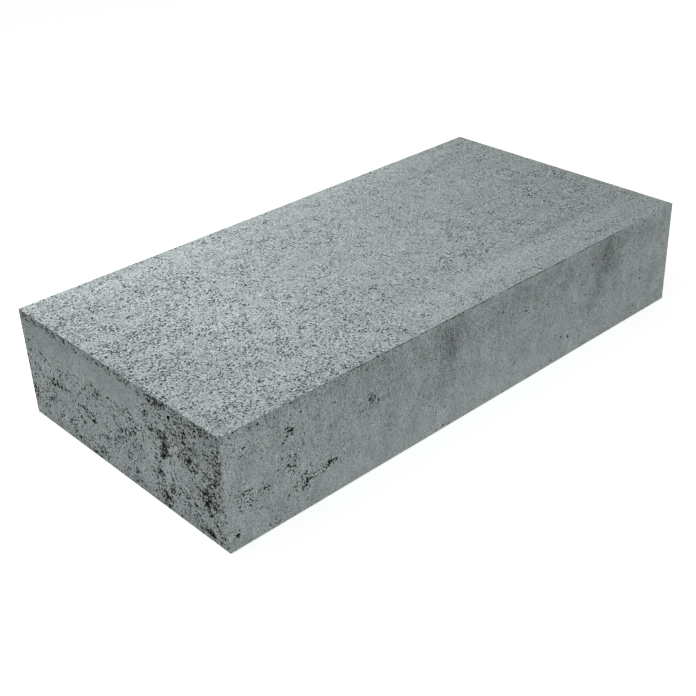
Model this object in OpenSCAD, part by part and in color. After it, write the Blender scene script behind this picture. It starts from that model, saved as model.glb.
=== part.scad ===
// Block step: a solid concrete step, cast in one piece in a straight-sided mould.
// Millimetres. X runs along the step, Y from its nose to its back, Z up.
// The origin is the middle of the bed, so the step stands on Z = 0 as it is laid.

/* [Block] */
// Length of the step from end to end
step_length = 800; // [400:10:1500]
// Depth from the nose to the back
step_depth = 400; // [250:10:600]
// Rise from the bed to the tread
step_rise = 150; // [80:5:250]

/* [Arrises] */
// Radius along the four edges of the tread, struck off while the concrete is green
tread_arris = 2; // [0.5:0.5:15]
// Radius along the four upright edges, left by the corners of the mould
upright_arris = 1.5; // [0.5:0.5:15]
// Radius along the four edges of the bed, which lie on the production board
bed_arris = 1; // [0.5:0.5:15]

/* [Hidden] */
// How far each cutting outline and each drawn-out section runs past the block
overrun = 5;
$fn = 64;

// What an easing tool of the given radius takes off the corner of the quadrant x > 0, y > 0.
module corner_waste(radius) {
    difference() {
        translate([-overrun, -overrun]) square(radius + overrun);
        translate([radius, radius]) circle(radius);
    }
}

// A rectangle centred on the Y axis and standing on the X axis,
// its lower corners eased to low_radius and its upper corners to high_radius.
module eased_section(width, height, low_radius, high_radius) {
    difference() {
        translate([-width / 2, 0]) square([width, height]);
        for (side = [0, 1]) {
            mirror([side, 0]) translate([-width / 2, 0]) corner_waste(low_radius);
            mirror([side, 0]) translate([-width / 2, height]) mirror([0, 1]) corner_waste(high_radius);
        }
    }
}

// Draws a section out along Y, centred, with the section's own Y axis turned up to Z.
module draw_out(length) {
    translate([0, length / 2, 0]) rotate([90, 0, 0]) linear_extrude(length) children();
}

// The plan seen from above, drawn out upwards: it eases the four upright edges.
module plan_prism() {
    translate([0, -step_depth / 2, -overrun])
        linear_extrude(step_rise + 2 * overrun)
            eased_section(step_length, step_depth, upright_arris, upright_arris);
}

// The elevation seen from the nose, drawn out from nose to back: it eases the end edges.
module nose_elevation_prism() {
    draw_out(step_depth + 2 * overrun)
        eased_section(step_length, step_rise, bed_arris, tread_arris);
}

// The elevation seen from an end, drawn out along the step: it eases the long edges.
module end_elevation_prism() {
    rotate([0, 0, 90])
        draw_out(step_length + 2 * overrun)
            eased_section(step_depth, step_rise, bed_arris, tread_arris);
}

// The whole step: what the plan and both elevations have in common. At each corner the
// roundings of the three arrises run into one another on mitred curves.
module block_step() {
    color([0.61, 0.635, 0.63])
        intersection() {
            plan_prism();
            nose_elevation_prism();
            end_elevation_prism();
        }
}

block_step();
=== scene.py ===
import math
import time

import bpy
import numpy as np
from mathutils import Matrix, Vector


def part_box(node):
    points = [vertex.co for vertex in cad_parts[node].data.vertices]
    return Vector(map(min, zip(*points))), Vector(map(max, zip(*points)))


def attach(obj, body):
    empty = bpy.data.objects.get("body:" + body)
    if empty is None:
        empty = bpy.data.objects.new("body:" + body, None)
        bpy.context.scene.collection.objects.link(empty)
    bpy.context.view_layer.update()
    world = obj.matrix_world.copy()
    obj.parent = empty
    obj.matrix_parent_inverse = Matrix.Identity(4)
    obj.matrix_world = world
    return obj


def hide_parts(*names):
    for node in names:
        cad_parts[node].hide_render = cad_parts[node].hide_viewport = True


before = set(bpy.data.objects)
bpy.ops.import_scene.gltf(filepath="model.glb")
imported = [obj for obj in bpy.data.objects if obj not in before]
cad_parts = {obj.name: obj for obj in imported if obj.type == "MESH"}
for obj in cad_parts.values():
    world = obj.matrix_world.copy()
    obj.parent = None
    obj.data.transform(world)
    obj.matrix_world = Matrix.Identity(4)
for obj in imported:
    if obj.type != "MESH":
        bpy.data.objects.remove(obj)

startTime = time.time()
mm = 0.001
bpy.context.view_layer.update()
stepLow, stepHigh = (np.array(corner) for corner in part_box("block_step"))
half = (stepHigh - stepLow) / 2
middle = (stepHigh + stepLow) / 2


def report(words):
    print("block step:", words, f"({time.time() - startTime:.1f} s)")


def rotated(bits, count):
    return (bits << np.uint32(count)) | (bits >> np.uint32(32 - count))


def latticeHash(cells, seed=0):
    # Mixes three whole numbers into 32 random bits by adding, crossing and rotating them.
    start = np.uint32(0xdeadbeef + 25)
    a, b, c = (start + (cells[..., axis] & 0xffffffff).astype(np.uint32) for axis in range(3))
    a = a + np.uint32(seed)
    c = (c ^ b) - rotated(b, 14)
    a = (a ^ c) - rotated(c, 11)
    b = (b ^ a) - rotated(a, 25)
    c = (c ^ b) - rotated(b, 16)
    a = (a ^ c) - rotated(c, 4)
    b = (b ^ a) - rotated(a, 14)
    return (c ^ b) - rotated(b, 24)


def gradientNoise(points):
    # Perlin's noise: at each of a cell's eight corners a hashed gradient times the offset,
    # blended with the fade curve 6t^5 - 15t^4 + 10t^3, and 0.982 of that sum, as in the Noise
    # Texture node, which it equals.
    cell = np.floor(points).astype(np.int64)
    offset = points - cell
    fade = offset ** 3 * (offset * (offset * 6 - 15) + 10)
    total = np.zeros(len(points))
    for corner in np.ndindex(2, 2, 2):
        kind = latticeHash(cell + corner) & 15
        x, y, z = (offset - corner).T
        u = np.where(kind < 8, x, y)
        v = np.where(kind < 4, y, np.where((kind == 12) | (kind == 14), x, z))
        slope = np.where(kind & 1, -u, u) + np.where(kind & 2, -v, v)
        total += slope * np.prod(np.where(corner, fade, 1 - fade), axis=1)
    return total * 0.982


seedShift = 17.3                 # cells of noise from one seed to the next


def noise(points, size, octaves, roughness, seed=0):
    # Octaves of gradient noise from 0 to 1, each half the size of the last one. With seed 0
    # it equals the Noise Texture node with detail octaves - 1, so a material can find again
    # what the mesh was carved with. Other seeds move it along.
    start = points / size + seed * seedShift
    total, reach, share = 0, 0, 1
    for octave in range(octaves):
        total = total + share * gradientNoise(start * 2 ** octave)
        reach += share
        share *= roughness
    return 0.5 + 0.5 * total / reach


def ramp(value, start, end):
    # 0 at start, 1 at end, and 3t^2 - 2t^3 between them.
    t = np.clip((value - start) / (end - start), 0, 1)
    return t * t * (3 - 2 * t)


# Noises are (size, octaves, roughness, seed).
blockShape = {
    "pitch": (1.7 * mm, 1.15 * mm, 1.05 * mm),   # spacing of the surface grid along x, y, z
    "arrisPitch": 0.6 * mm,      # and beside the arrises
    "arrisBand": 3 * mm,
    "arrisRadius": 0.35 * mm,    # where the arris is crispest
    "arrisWear": 0.5 * mm,       # how much more it is elsewhere
    "wearNoise": (9 * mm, 3, 0.6, 41),
    "chipNoise": (15 * mm, 3, 0.65, 43),
    "chipStart": 0.67,           # higher: fewer chips
    "chipRate": 24 * mm,         # radius for each unit of noise above the start
    "chipDepth": 4 * mm,
    "waveNoise": (130 * mm, 2, 0.5, 11),         # hollows and swells of the skin
    "waveDepth": 0.35 * mm,
    "triangles": 192000,
    "flatness": 80,              # how far large faces set the shading of those beside them
}


def gridLine(reach, pitch, band, finePitch):
    # Places along one edge of the block, from -reach to reach: evenly finePitch apart in a
    # band at each end, and evenly pitch apart between the bands.
    fine = np.linspace(0, band, round(band / finePitch) + 1)
    inner = reach - band
    even = np.linspace(-inner, inner, round(2 * inner / pitch) + 1)
    return np.concatenate([fine[:-1] - reach, even, (reach - fine[:-1])[::-1]])


def boxLattice(lines):
    # Six flat grids of two parameters, corner + u * first edge + v * second edge, one for
    # each side of the block, joined where they share a rim.
    counts = [len(line) for line in lines]
    keys, quads, start = [], [], 0
    for axis in range(3):
        first, second = (axis + 1) % 3, (axis + 2) % 3
        for far in (0, 1):
            u, v = np.meshgrid(np.arange(counts[first]), np.arange(counts[second]), indexing="ij")
            place = [None, None, None]
            place[first], place[second] = u, v
            place[axis] = np.full_like(u, far * (counts[axis] - 1))
            keys.append(((place[0] * counts[1] + place[1]) * counts[2] + place[2]).ravel())
            number = start + np.arange(u.size).reshape(u.shape)
            ring = [number[:-1, :-1], number[1:, :-1], number[1:, 1:], number[:-1, 1:]]
            quads.append(np.stack(ring if far else ring[::-1], -1).reshape(-1, 4))   # face outwards
            start += u.size
    used, joined = np.unique(np.concatenate(keys), return_inverse=True)
    quads = joined[np.concatenate(quads)]
    index = (used // (counts[1] * counts[2]), used // counts[2] % counts[1], used % counts[2])
    return np.stack([line[i] for line, i in zip(lines, index)], -1), quads


def easedArris(points, radius):
    # Rounds the box: a point moves to radius beyond its nearest point of a box that is
    # smaller by the radius all round. Also gives the direction it moved in, the normal.
    core = np.clip(points, -half + radius[:, None], half - radius[:, None])
    outward = points - core
    outward /= np.linalg.norm(outward, axis=1)[:, None]
    return core + radius[:, None] * outward, outward


# Where the paste ran short: how open the texture of each side is, from 0 for a closed skin
# to 1 for honeycomb. A broad and a fine noise, drift and patch, break it up.
openness = {
    "tread": {"base": 0.42, "drift": 0.5, "patch": 2.2, "left": 0.30, "noseStrip": -0.12},
    "leftEnd": {"base": 0.50, "drift": 1.1, "patch": 0.8, "front": 0.11, "smoothStrip": 0.85},
    "nose": {"base": 0.11, "drift": 0.6, "patch": 0.3, "left": 0.12},
    "plain": {"base": 0.36, "drift": 1.1, "patch": 0.7},     # the back and the right end
    "rim": {"base": 0.12, "drift": 0.8, "nose": 0.75},       # added below the tread's arris
    "bed": 0.50,
    "most": 1.3,
}
mapNoises = {
    "drift": (34 * mm, 3, 0.6, 3),
    "patch": (12 * mm, 2, 0.5, 5),
    "treadPatch": (16 * mm, 3, 0.6, 0),
    "slow": (90 * mm, 2, 0.5, 6),
}
# Where one part of a side gives way to the next: (from, to), in mm from the middle of the
# block or below the tread, and how far drift, patch and slow push that place.
edges = {
    "stripFoot": (-45, -35, 20, 14, 0),
    "stripHead": (-9, -13, 0, 8, 0),
    "stripFront": (-70, -40, 40, 0, 0),
    "stripBack": (185, 170, 0, 0, 0),
    "leftEndFront": (-20, -90, 30, 0, 0),
    "noseLeft": (-150, -300, 0, 0, 0),
    "treadLeft": (60, -260, 0, 0, 120),
    "noseStrip": (-125, -140, 16, 0, 0),
    "noseStripLeft": (-180, -60, 0, 0, 0),
    "rim": (-14, -10, 0, 5, 0),
    "rimNose": (-100, -200, 0, 0, 200),
}
# Marks on the sides, in mm and degrees from the middle of the side as it is faced:
# (to the right, up, length, breadth, tilt, strength).
marks = {
    "leftEnd": [
        (-140, -5, 20, 5, 4, 0.9), (-62, -14, 12, 5, -12, 0.9), (-55, -24, 8, 4, 0, 1.1),
        (-40, 24, 13, 8, 0, 0.6), (12, -8, 28, 6, 38, 0.7), (-50, -60, 5, 8, 80, 0.5),
        (62, 42, 9, 6, 0, 0.8), (96, 10, 18, 5, 60, 1.2), (88, 28, 14, 8, 0, 0.6),
        (138, 12, 11, 8, 0, 0.9), (132, 38, 16, 10, 0, 0.6), (172, -22, 14, 9, 10, 1.3),
        (178, 10, 12, 7, 20, 0.8), (185, 35, 10, 10, 0, 0.5), (90, -56, 9, 7, 0, 0.9),
        (110, -44, 13, 4, -15, 0.9), (28, -66, 6, 5, 0, 0.9), (-66, -72, 7, 3, 0, 1.4),
        (-98, -65, 5, 3, 0, 1.1), (-196, -35, 8, 6, 0, 0.9), (168, -66, 9, 5, 0, 0.8),
    ],
    "nose": [
        (-347, -16, 8, 3, 0, 1.1), (-387, -56, 5, 4, 0, 1.2), (-308, -3, 16, 11, 70, 0.62),
        (-290, -37, 20, 11, 10, 0.68), (-255, -31, 13, 4, 15, 0.95), (-308, 41, 14, 7, 60, 0.62),
        (-372, -18, 14, 14, 0, 0.55), (-338, -70, 10, 5, 0, 0.7), (-185, 22, 16, 6, -40, 0.8),
        (-371, 44, 10, 6, 0, 0.55), (-75, -45, 8, 3, 0, 0.9), (172, -45, 12, 4, -15, 0.9),
        (90, 29, 12, 4, 0, 0.5), (-235, -20, 8, 5, 0, 0.55),
    ],
    "tread": [
        (-330, 20, 60, 22, -8, 0.35), (-360, -60, 40, 30, 0, 0.25), (-250, 110, 60, 20, 0, 0.2),
        (80, -95, 90, 14, 4, 0.2), (-120, 30, 60, 20, 0, -0.25), (220, 60, 70, 30, 0, -0.15),
    ],
}
# Paler (+) and darker (-) places of the skin, in the same way: stains, and on the nose and tread some
# painted light and shade.
rimStain = -0.17
driftStain = 0.20
stainsAndPaintedLight = {
    "leftEnd": [
        (-150, 58, 70, 20, 0, -0.15), (180, 45, 40, 40, 0, -0.06), (-60, -50, 120, 30, 0, 0.04),
        (85, -5, 60, 60, 0, 0.20), (180, -60, 50, 30, 0, 0.08), (0, 0, 400, 200, 0, 0.03),
    ],
    # on the nose the paler foot is partly painted light from the floor, and the darker band under the
    # tread partly painted shade
    "nose": [
        (-60, 45, 50, 26, 80, -0.24), (250, 40, 60, 28, 70, -0.27), (120, 50, 80, 20, 0, -0.05),
        (-310, -20, 60, 40, 0, 0.03), (-150, 30, 60, 30, 0, -0.05), (0, -62, 420, 26, 0, 0.19),
        (80, 54, 420, 26, 0, -0.18), (0, 0, 500, 90, 0, -0.09), (370, 30, 30, 50, 0, 0.03),
    ],
    # on the tread the paler left and back and the darker right are partly painted light and shade of
    # the key lamp's fall-off
    "tread": [
        (60, -155, 330, 13, 0, 0.10), (150, -127, 230, 5, 0, -0.11), (0, 190, 460, 40, 0, 0.15),
        (-240, 20, 120, 190, 0, 0.16), (290, -60, 170, 110, 0, -0.08),
        (-330, -150, 100, 40, 0, 0.05),
    ],
}


def markSum(right, up, places):
    # Soft marks added up: strength * exp(-(along / length)^2 - (across / breadth)^2), with
    # along and across measured in directions turned by the tilt.
    total = np.zeros(len(right))
    for x, y, length, breadth, tilt, strength in places:
        turn = math.radians(tilt)
        fromX, fromY = right - x * mm, up - y * mm
        along = (fromX * math.cos(turn) + fromY * math.sin(turn)) / (length * mm)
        across = (fromY * math.cos(turn) - fromX * math.sin(turn)) / (breadth * mm)
        total += strength * np.exp(-along ** 2 - across ** 2)
    return total


def skinMaps(points, outward):
    # For each point, how open the texture is and how much paler or darker the skin is: each
    # side's own map, weighted by the square of the normal towards that side.
    x, y, z = points.T
    east, north, up = (np.maximum(outward, 0) ** 2).T
    west, south, down = (np.maximum(-outward, 0) ** 2).T
    level = z - half[2]                      # 0 at the tread, negative below it
    drift, patch, treadPatch, slow = (noise(points, *own) - 0.5 for own in mapNoises.values())

    def past(place, name):
        start, end, *pushes = edges[name]
        return ramp(place + mm * np.dot(pushes, (drift, patch, slow)), start * mm, end * mm)

    def broken(own, fine):
        return own["base"] + own["drift"] * drift + own["patch"] * fine

    # the left end: a smooth strip below the rim, honeycomb towards the nose
    own = openness["leftEnd"]
    strip = past(level, "stripFoot") * past(level, "stripHead")
    strip *= past(y, "stripFront") * past(y, "stripBack")
    leftEnd = broken(own, patch) + own["front"] * past(y, "leftEndFront")
    leftEnd = (leftEnd + markSum(-y, z, marks["leftEnd"])) * (1 - own["smoothStrip"] * strip)

    own = openness["nose"]
    nose = broken(own, patch) + own["left"] * past(x, "noseLeft") + markSum(x, z, marks["nose"])

    own = openness["tread"]
    tread = broken(own, treadPatch) + own["left"] * past(x, "treadLeft")
    tread += own["noseStrip"] * past(y, "noseStrip") * past(x, "noseStripLeft")
    tread += markSum(x, y, marks["tread"])

    opened = west * leftEnd + south * nose + (east + north) * broken(openness["plain"], patch)
    opened += up * tread + down * openness["bed"]

    # the struck-off rim: a rough, darker band under the tread's arris, not on all the nose
    own = openness["rim"]
    rim = (1 - up - down) * past(level, "rim")
    rim *= 1 - south * (1 - own["nose"] * past(x, "rimNose"))
    opened += rim * (own["base"] + own["drift"] * np.maximum(drift, 0))

    # stains, with some painted light and shade on the nose and tread
    stainAndPaintedLight = west * markSum(-y, z, stainsAndPaintedLight["leftEnd"]) + south * markSum(x, z, stainsAndPaintedLight["nose"])
    stainAndPaintedLight += up * markSum(x, y, stainsAndPaintedLight["tread"]) + driftStain * drift + rimStain * rim
    return np.clip(opened, 0, openness["most"]), stainAndPaintedLight


# The lumps that the paste doesn't fill are where a noise lies below a level. The material uses the
# same noise and level, so the voids it paints dark, as painted shade, lie where the mesh is carved.
voids = {
    "size": 5.6 * mm,
    "stretch": (1.0, 0.78, 1.1),
    "octaves": 3,
    "roughness": 0.75,
    "closedLevel": 0.285,        # on a closed skin
    "openLevel": 0.145,          # and this much higher on an open one
    "treadSize": 4.4 * mm,
    "treadOctaves": 2,
    "treadRoughness": 0.5,
    "treadClosedLevel": 0.24,
    "treadOpenLevel": 0.08,
    "rate": 32 * mm,             # depth for each unit of noise below the level
    "deepest": 3.2 * mm,
    "treadDeepest": 1.3 * mm,
    "cavityDepth": 1.6 * mm,     # as deep as this the cavity map, which paints shade in the hollows, is 1
    "levelSlope": 0.7,           # a skin that faces up or down more than this is tread or bed
}

# A broken line pressed in along the nose, just under the tread's arris, with painted shadow in it.
pressedLine = {
    "foot": (-2.6 * mm, -1.9 * mm),
    "head": (-0.6 * mm, -1.1 * mm),
    "start": (-240 * mm, -140 * mm),
    "breakNoise": (11 * mm, 3, 0.7, 12),
    "breaks": (0.33, 0.55),      # higher: more of them
    "depth": 0.4 * mm,
    # how dark the line's painted shadow is, and where along the nose it fades in and then out
    "lineShadow": 0.28,
    "lineShadowStart": (-350 * mm, -280 * mm),
    "lineShadowEnd": (340 * mm, 220 * mm),
}


def relief(points, outward):
    # How far the skin lies below the eased box, and the maps of its cavities (painted shade), texture
    # and stains (with some painted light). A void is rate * (level - noise) deep, and the wave is
    # waveDepth * noise.
    shape, line = voids, pressedLine
    x, y, z = points.T
    depth = blockShape["waveDepth"] * noise(points, *blockShape["waveNoise"])
    opened, stainAndPaintedLight = skinMaps(points, outward)
    pits = np.zeros(len(points))

    flat = np.abs(outward[:, 2]) > shape["levelSlope"]
    side = np.flatnonzero(~flat)
    lump = noise(points[side] * shape["stretch"], shape["size"], shape["octaves"], shape["roughness"])
    below = shape["closedLevel"] + shape["openLevel"] * opened[side] - lump
    pits[side] = np.clip(below * shape["rate"], 0, shape["deepest"])

    level = np.flatnonzero(flat)
    lump = noise(points[level], shape["treadSize"], shape["treadOctaves"], shape["treadRoughness"])
    below = shape["treadClosedLevel"] + shape["treadOpenLevel"] * opened[level] - lump
    pits[level] = np.clip(below * shape["rate"], 0, shape["treadDeepest"])

    under = z - half[2]                      # 0 at the tread, negative below it
    pressed = np.maximum(-outward[:, 1], 0)
    pressed *= ramp(under, *line["foot"]) * ramp(under, *line["head"])
    pressed *= ramp(noise(points, *line["breakNoise"]), *line["breaks"])
    groove = line["depth"] * pressed * ramp(x, *line["start"])
    # the pressed line's painted shadow, fading in and out along the nose
    lineShadow = line["lineShadow"] * pressed * ramp(x, *line["lineShadowStart"])
    lineShadow *= ramp(x, *line["lineShadowEnd"])
    # the map of painted shade: darkest in the deepest pits, and along the pressed line
    cavityShade = np.maximum(pits / shape["cavityDepth"], lineShadow)
    return depth + np.maximum(pits, groove), np.minimum(cavityShade, 1), opened, stainAndPaintedLight


def easedBlock():
    # The skin is the box lattice with its arrises eased, less the relief along the normal.
    # An arris has the radius arrisRadius + arrisWear * noise + chipRate * (noise - chipStart).
    shape = blockShape
    lines = [
        gridLine(reach, pitch, shape["arrisBand"], shape["arrisPitch"])
        for reach, pitch in zip(half, shape["pitch"])]
    points, quads = boxLattice(lines)
    report(f"surface grid of {len(points)} points")
    nearArris = np.sort(half - np.abs(points), axis=1)[:, 1] < 2 * shape["chipDepth"]
    radius = np.full(len(points), shape["arrisRadius"])
    wear = noise(points[nearArris], *shape["wearNoise"])
    chips = noise(points[nearArris], *shape["chipNoise"]) - shape["chipStart"]
    radius[nearArris] += shape["arrisWear"] * wear + shape["chipRate"] * np.maximum(chips, 0)
    skin, outward = easedArris(points, np.clip(radius, shape["arrisRadius"], shape["chipDepth"]))
    depth, cavityShade, opened, stainAndPaintedLight = relief(skin, outward)
    report("voids, pits and chips")
    return skin - outward * depth[:, None] + middle, quads, cavityShade, opened, stainAndPaintedLight


def meshFrom(name, points, quads, fields):
    # Puts the arrays into a new mesh, with each field as an attribute of its points.
    mesh = bpy.data.meshes.new(name)
    mesh.vertices.add(len(points))
    mesh.vertices.foreach_set("co", points.astype(np.float32).ravel())
    mesh.loops.add(quads.size)
    mesh.loops.foreach_set("vertex_index", quads.astype(np.int32).ravel())
    mesh.polygons.add(len(quads))
    mesh.polygons.foreach_set("loop_start", np.arange(0, quads.size, 4, dtype=np.int32))
    for field, values in fields.items():
        attribute = mesh.attributes.new(field, "FLOAT", "POINT")
        attribute.data.foreach_set("value", values.astype(np.float32))
    mesh.update(calc_edges=True)
    return mesh


def appliedModifiers(piece):
    # Puts the piece's modifiers into its mesh.
    view = bpy.context.evaluated_depsgraph_get()
    mesh = bpy.data.meshes.new_from_object(piece.evaluated_get(view))
    old = piece.data
    piece.modifiers.clear()
    piece.data = mesh
    mesh.name = old.name = piece.name
    bpy.data.meshes.remove(old)


def unfold(mesh):
    # Lays the six sides out side by side in one square: each triangle goes to the side whose
    # plane its middle is nearest to. The bed takes half scale, since it is hardly seen.
    count = len(mesh.loops)
    corner = np.zeros(count, np.int32)
    mesh.loops.foreach_get("vertex_index", corner)
    co = np.zeros(len(mesh.vertices) * 3, np.float32)
    mesh.vertices.foreach_get("co", co)
    place = co.reshape(-1, 3)[corner] - middle
    centre = place.reshape(-1, 3, 3).mean(1)
    room = np.concatenate([half - centre, half + centre], 1)     # to +x +y +z -x -y -z
    side = np.repeat(room.argmin(1), 3)
    x, y, z = (place + half).T
    length, depth, rise = 2 * half
    gap = 4 * mm
    row = depth + gap
    layout = {
        2: (x, y), 4: (x, row + z), 1: (x, row + rise + gap + z),
        3: (y, row + 2 * (rise + gap) + z), 0: (depth + gap + y, row + 2 * (rise + gap) + z),
        5: (length + 2 * gap + y / 2, x / 2),
    }
    uv = np.zeros((count, 2), np.float32)
    for number, (u, v) in layout.items():
        here = side == number
        uv[here, 0], uv[here, 1] = u[here] + gap, v[here] + gap
    uv /= length + depth / 2 + 4 * gap
    mesh.uv_layers.new(name="OFBake").data.foreach_set("uv", uv.ravel())


def makeBlock():
    # The lattice is far finer than it need be on flat skin, so it's thinned to triangles.
    points, quads, cavityShade, opened, stainAndPaintedLight = easedBlock()
    fields = {"cavityShade": cavityShade, "openTexture": opened, "stainAndPaintedLight": stainAndPaintedLight}
    mesh = meshFrom("cast_block", points, quads, fields)
    block = bpy.data.objects.new("cast_block", mesh)
    bpy.context.scene.collection.objects.link(block)
    thin = block.modifiers.new("thin", "DECIMATE")
    thin.ratio = blockShape["triangles"] / (2 * len(quads))
    thin.use_collapse_triangulate = True
    appliedModifiers(block)
    block.data.shade_smooth()
    even = block.modifiers.new("even", "WEIGHTED_NORMAL")
    even.weight = blockShape["flatness"]
    appliedModifiers(block)
    unfold(block.data)
    report(f"block of {len(block.data.polygons)} triangles")
    return block


concrete = {
    "paste": (0.360, 0.404, 0.403),
    "openPale": 0.10,            # how much paler the paste is where the texture is open
    "paleOpening": 0.5,          # as open as this it is that much paler
    "nearShade": 0.06,           # and how much darker it is close to a void
    "nearReach": 0.115,          # how close that is, in units of the voids' noise
    "voidTone": (0.0, 0.55),     # painted shade: share of the paste's tone left in a void, and on a grain in it
    "voidGrains": (0.15, 0.65),  # the sand's tones between which such a grain appears
    "darkCavity": 0.35,          # the cavity value at which a hollow's painted shade is darkest
    "voidEdge": 0.013,           # how soft the voids' edges are
    "treadVoidEdge": 0.03,
    "treadStart": (1.3 * mm, 0.8 * mm),   # how far below the top the tread's texture begins
    "sideCell": 3.6 * mm,        # each cell holds one pinhole at most
    "treadCell": 3.0 * mm,
    "sidePinholes": (-0.08, 1.1),         # share of cells with one: closed, and more when open
    "treadPinholes": (0.13, 0.80),
    "pinholeRadius": 0.50,       # of a cell
    "leastPinhole": 0.35,        # and of that, the smallest one's share
    "pinholeSpread": 0.6,        # lower: more large ones
    "pinholeFade": 0.02,         # the excess draw over which a pinhole opens
    "pinholeEdge": 0.22,         # how soft its edge is, in cells
    "crumbleSize": 1.3 * mm,     # raggedness of the pinholes
    "crumbleReach": 1.6 * mm,
    # tones of the paste: (size, strength, octaves after the first, roughness, squeeze)
    "grain": (1.695 * mm, 3.4, 0, 0.5, (1, 1, 1)),
    "lump": (6.1 * mm, 0.35, 0, 0.5, (1, 1, 1)),
    "fine": (0.9 * mm, 0.5, 1, 0.5, (1, 1, 1)),
    "brush": (2.2 * mm, 0.9, 1, 0.7, (1, 1, 0.3)),       # drawn upwards by the mould
    "mottle": (22 * mm, 0.65, 2, 0.6, (1, 1, 0.6)),
    "streak": (24 * mm, 0.30, 2, 0.6, (0.13, 1, 1)),     # left along the tread by striking it off
    "sideGrain": (0.27, 0.7),    # how strongly the sand shows: closed, and more when open
    "treadGrain": (0.35, 0.5),
    "mostGrain": 1.5,
    "palest": 0.7,               # above the paste's own tone
    "darkest": 0.1,
    "grainRise": 0.60,           # bump of the sand and of the pinholes, in mm
    "hollowDrop": 0.9,
    "roughness": 0.9,
    "specular": 0.25,
}


class Nodes:
    # A short way to write a material's nodes: each call adds one and gives its output.
    def __init__(self, tree):
        self.tree = tree

    def add(self, kind, settings=None, output=0, **inputs):
        node = self.tree.nodes.new(kind)
        for key, value in (settings or {}).items():
            setattr(node, key, value)
        for key, value in inputs.items():
            numbered = key[0] == "i" and key[1:].isdigit()
            socket = node.inputs[int(key[1:]) if numbered else key.replace("_", " ")]
            if isinstance(value, bpy.types.NodeSocket):
                self.tree.links.new(value, socket)
            else:
                socket.default_value = value
        return node.outputs[output]

    def math(self, operation, first, second=0.0, third=0.0):
        return self.add("ShaderNodeMath", {"operation": operation}, i0=first, i1=second, i2=third)

    def ramp(self, value, low, high, start=0.0, end=1.0):
        smooth = {"interpolation_type": "SMOOTHSTEP"}
        return self.add("ShaderNodeMapRange", smooth, i0=value, i1=low, i2=high, i3=start, i4=end)

    def vector(self, operation, **inputs):
        return self.add("ShaderNodeVectorMath", {"operation": operation}, **inputs)

    def times(self, first, second):
        return self.math("MULTIPLY", first, second)

    def total(self, *values):
        result = values[0]
        for value in values[1:]:
            result = self.math("ADD", result, value)
        return result

    def noise(self, place, size, detail, roughness, squeeze=(1, 1, 1)):
        drawn = self.add("ShaderNodeMapping", Vector=place, Scale=squeeze)
        settings = {"Scale": 1 / size, "Detail": detail, "Roughness": roughness}
        return self.add("ShaderNodeTexNoise", Vector=drawn, **settings)

    def tone(self, place, size, strength, *settings):
        # a noise from -strength / 2 to strength / 2
        value = self.noise(place, size, *settings)
        return self.math("MULTIPLY_ADD", value, strength, -strength / 2)

    def byOpening(self, opened, tread, side, top):
        # closed + more * opened, with one pair of numbers for the sides and one for the tread
        closed = self.math("MULTIPLY_ADD", tread, top[0] - side[0], side[0])
        more = self.math("MULTIPLY_ADD", tread, top[1] - side[1], side[1])
        return self.math("MULTIPLY_ADD", opened, more, closed)


def carvedVoids(n, place, opened, upright, tread):
    # The voids that the mesh is carved with, found again with a crisp edge so that they can be
    # painted dark as shade, and how near to one each place of the upright sides is.
    shape = voids
    lump = n.noise(
        place, shape["size"], shape["octaves"] - 1, shape["roughness"], shape["stretch"])
    level = n.math("MULTIPLY_ADD", opened, shape["openLevel"], shape["closedLevel"])
    below = n.math("SUBTRACT", level, lump)
    sideVoid = n.times(n.ramp(below, 0.0, concrete["voidEdge"]), upright)
    near = n.times(n.ramp(below, -concrete["nearReach"], 0.0), upright)

    lump = n.noise(
        place, shape["treadSize"], shape["treadOctaves"] - 1, shape["treadRoughness"])
    level = n.math("MULTIPLY_ADD", opened, shape["treadOpenLevel"], shape["treadClosedLevel"])
    below = n.math("SUBTRACT", level, lump)
    treadVoid = n.times(n.ramp(below, 0.0, concrete["treadVoidEdge"]), tread)
    return n.math("MAXIMUM", sideVoid, treadVoid), near


def pinholes(n, place, opened, tread):
    # A cell of the Voronoi texture has a hole where its random draw is above 1 - share, and the
    # further above it is, the larger the hole. A noise that shifts each place a little makes the
    # holes ragged. The holes are only bump and painted shade, with no carving in the mesh.
    look = concrete
    crumble = 1 / look["crumbleSize"]
    shift = n.add("ShaderNodeTexNoise", output="Color", Vector=place, Scale=crumble, Detail=0)
    shift = n.vector("SUBTRACT", i0=shift, i1=(0.5, 0.5, 0.5))
    shift = n.vector("SCALE", i0=shift, Scale=look["crumbleReach"])
    sideRate, treadRate = 1 / look["sideCell"], 1 / look["treadCell"]
    rate = n.math("MULTIPLY_ADD", tread, treadRate - sideRate, sideRate)
    shifted = n.vector("ADD", i0=place, i1=shift)
    cells = n.add("ShaderNodeTexVoronoi", Vector=shifted, Scale=rate).node
    draw = n.add("ShaderNodeSeparateXYZ", output="X", Vector=cells.outputs["Color"])
    share = n.byOpening(opened, tread, look["sidePinholes"], look["treadPinholes"])
    above = n.math("SUBTRACT", n.math("ADD", share, draw), 1.0)
    full = n.ramp(above, 0.0, look["pinholeFade"], 0.0, look["pinholeRadius"])
    radius = n.times(full, n.ramp(above, 0.0, look["pinholeSpread"], look["leastPinhole"], 1.0))
    inside = n.math("SUBTRACT", radius, cells.outputs["Distance"])
    return n.ramp(inside, 0.0, look["pinholeEdge"])


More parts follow.
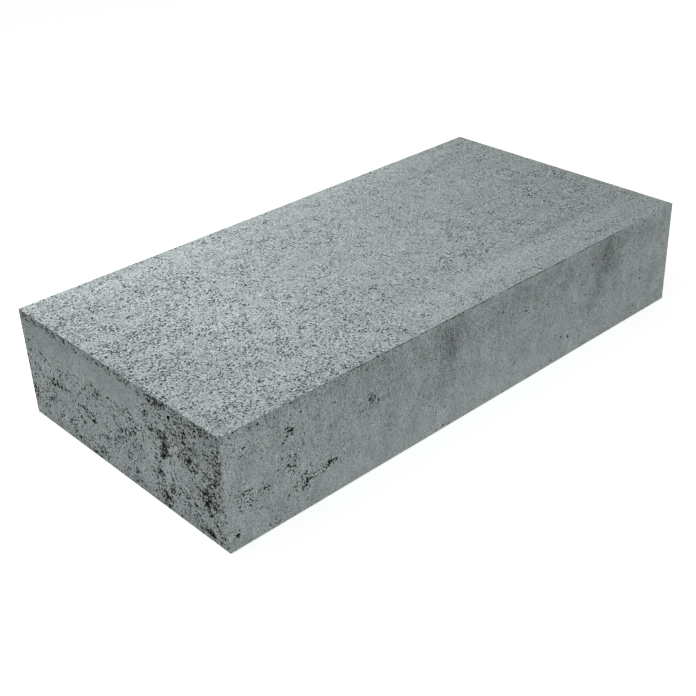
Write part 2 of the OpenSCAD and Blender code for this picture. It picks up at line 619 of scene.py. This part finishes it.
def castConcrete():
    look = concrete
    material = bpy.data.materials.new("cast concrete")
    material.use_nodes = True
    tree = material.node_tree
    tree.nodes.clear()
    n = Nodes(tree)
    place = n.add("ShaderNodeTexCoord", output="Object")
    cavityShade, opened, stainAndPaintedLight = (
        n.add("ShaderNodeAttribute", {"attribute_name": name}, output="Fac")
        for name in ("cavityShade", "openTexture", "stainAndPaintedLight"))
    height = n.add("ShaderNodeSeparateXYZ", output="Z", Vector=place)
    start, end = (float(stepHigh[2]) - drop for drop in look["treadStart"])
    tread = n.ramp(height, start, end)
    upright = n.math("SUBTRACT", 1.0, tread)

    carved, near = carvedVoids(n, place, opened, upright, tread)
    pits = pinholes(n, place, opened, tread)
    # painted shade in the hollows: the cavity map and the carved voids
    hollowShade = n.math("MAXIMUM", n.ramp(cavityShade, 0.0, look["darkCavity"]), carved)

    # the sand, which shows more where the skin is open
    grit, lumps, dust = (n.tone(place, *look[name]) for name in ("grain", "lump", "fine"))
    show = n.byOpening(opened, tread, look["sideGrain"], look["treadGrain"])
    sand = n.times(n.total(grit, lumps, dust), n.math("MINIMUM", show, look["mostGrain"]))

    # what the mould left on the upright sides, and the striking-off on the tread
    brush, mottle, streak = (n.tone(place, *look[name]) for name in ("brush", "mottle", "streak"))
    paler = n.math("DIVIDE", opened, look["paleOpening"])
    pale = n.times(n.math("MINIMUM", paler, 1.0), look["openPale"])
    mould = n.times(n.total(brush, mottle, pale), upright)
    mould = n.math("MULTIPLY_ADD", near, -look["nearShade"], mould)
    struck = n.times(streak, tread)

    grain = n.math("MINIMUM", sand, look["palest"])
    tone = n.math("MAXIMUM", n.total(grain, mould, struck, stainAndPaintedLight, 1.0), look["darkest"])
    # painted shade: a void is painted dark but for the palest grains in it, and a pinhole is painted
    # dark all over
    inVoid = n.ramp(grit, *look["voidGrains"], *look["voidTone"])
    tone = n.times(tone, n.math("MULTIPLY_ADD", hollowShade, n.math("SUBTRACT", inVoid, 1.0), 1.0))
    tone = n.times(tone, n.math("SUBTRACT", 1.0, pits))
    colour = n.vector("SCALE", i0=look["paste"], Scale=tone)

    sunken = n.math("MAXIMUM", pits, carved)
    skin = n.total(n.times(sand, look["grainRise"]), n.times(sunken, -look["hollowDrop"]))
    bump = n.add("ShaderNodeBump", Strength=1.0, Distance=mm, Height=skin)
    shader = n.add("ShaderNodeBsdfPrincipled", Base_Color=colour, Normal=bump)
    shader.node.inputs["Roughness"].default_value = look["roughness"]
    shader.node.inputs["Specular IOR Level"].default_value = look["specular"]
    tree.links.new(shader, tree.nodes.new("ShaderNodeOutputMaterial").inputs["Surface"])
    return material


block = makeBlock()
block.data.materials.clear()
block.data.materials.append(castConcrete())
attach(block, "root")
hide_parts("block_step")
report("concrete")

studio = {
    "floorReach": 12.0,
    "floorGap": 0.2 * mm,        # between the paper and the bed
    "floorTone": 0.86,
    "floorGlow": 0.66,           # seen by the camera only, so that the paper is white
    "skyLevel": 0.36,            # as light, and 1 where it is seen
    "keyPlace": (-0.36, 0.36, 0.95),
    "keyAim": (0.0, 0.0, 0.08),
    "keySize": 0.7,
    "keyWatts": 6.75,
    "fillPlace": (0.0, -1.93, 0.6),
    "fillAim": (0.0, 0.0, 0.08),
    "fillSize": 1.0,
    "fillWatts": 7.5,
}


def makeFloor():
    reach = studio["floorReach"]
    level = float(stepLow[2]) - studio["floorGap"]
    turns = [(-1, -1), (1, -1), (1, 1), (-1, 1)]
    corners = [(reach * x, reach * y, level) for x, y in turns]
    mesh = bpy.data.meshes.new("studio_floor")
    mesh.from_pydata(corners, [], [(0, 1, 2, 3)])
    floor = bpy.data.objects.new("studio_floor", mesh)
    bpy.context.scene.collection.objects.link(floor)
    material = bpy.data.materials.new("studio paper")
    material.use_nodes = True
    tree = material.node_tree
    tree.nodes.clear()
    n = Nodes(tree)
    tone = studio["floorTone"]
    paper = n.add("ShaderNodeBsdfDiffuse", Color=(tone, tone, tone, 1))
    glow = n.add("ShaderNodeEmission", Color=(1, 1, 1, 1), Strength=studio["floorGlow"])
    rays = tree.nodes.new("ShaderNodeLightPath")
    seen = n.math("MAXIMUM", rays.outputs["Is Camera Ray"], rays.outputs["Is Glossy Ray"])
    lit = n.add("ShaderNodeAddShader", i0=paper, i1=glow)
    both = n.add("ShaderNodeMixShader", i0=seen, i1=paper, i2=lit)
    tree.links.new(both, tree.nodes.new("ShaderNodeOutputMaterial").inputs["Surface"])
    mesh.materials.append(material)


def makeSky():
    world = bpy.data.worlds.new("studio")
    bpy.context.scene.world = world
    world.use_nodes = True
    tree = world.node_tree
    tree.nodes.clear()
    n = Nodes(tree)
    rays = tree.nodes.new("ShaderNodeLightPath")
    seen = n.math("MAXIMUM", rays.outputs["Is Camera Ray"], rays.outputs["Is Glossy Ray"])
    level = n.ramp(seen, 0, 1, studio["skyLevel"], 1.0)
    sky = n.add("ShaderNodeBackground", Color=(1, 1, 1, 1), Strength=level)
    tree.links.new(sky, tree.nodes.new("ShaderNodeOutputWorld").inputs["Surface"])


def softLamp(name, place, aim, size, watts):
    lamp = bpy.data.lights.new(name, "AREA")
    lamp.shape = "DISK"
    lamp.size = size
    lamp.energy = watts
    holder = bpy.data.objects.new(name, lamp)
    holder.location = place
    holder.rotation_euler = (Vector(aim) - Vector(place)).to_track_quat("-Z", "Y").to_euler()
    bpy.context.scene.collection.objects.link(holder)


makeFloor()
makeSky()
softLamp("key", studio["keyPlace"], studio["keyAim"], studio["keySize"], studio["keyWatts"])
softLamp("fill", studio["fillPlace"], studio["fillAim"], studio["fillSize"], studio["fillWatts"])

viewpoint = {
    "lens": 60.75,                  # mm on a 36 mm sensor
    "place": (-0.9515, -1.0139, 0.8181),
    "azimuth": -41.94,              # degrees round from the -Y axis
    "elevation": 30.29,
    "roll": 2.29,
}


def makeCamera():
    camera = bpy.data.cameras.new("camera")
    camera.lens = viewpoint["lens"]
    camera.sensor_width = 36
    holder = bpy.data.objects.new("camera", camera)
    bpy.context.scene.collection.objects.link(holder)
    turned, raised = math.radians(viewpoint["azimuth"]), math.radians(viewpoint["elevation"])
    level = math.cos(raised)
    back = Vector((math.sin(turned) * level, -math.cos(turned) * level, math.sin(raised)))
    turn = (-back).to_track_quat("-Z", "Y").to_matrix().to_4x4()
    roll = Matrix.Rotation(math.radians(-viewpoint["roll"]), 4, "Z")
    holder.matrix_world = Matrix.Translation(viewpoint["place"]) @ turn @ roll
    bpy.context.scene.camera = holder


makeCamera()
bpy.context.scene.view_settings.view_transform = "Standard"
report("studio and camera")
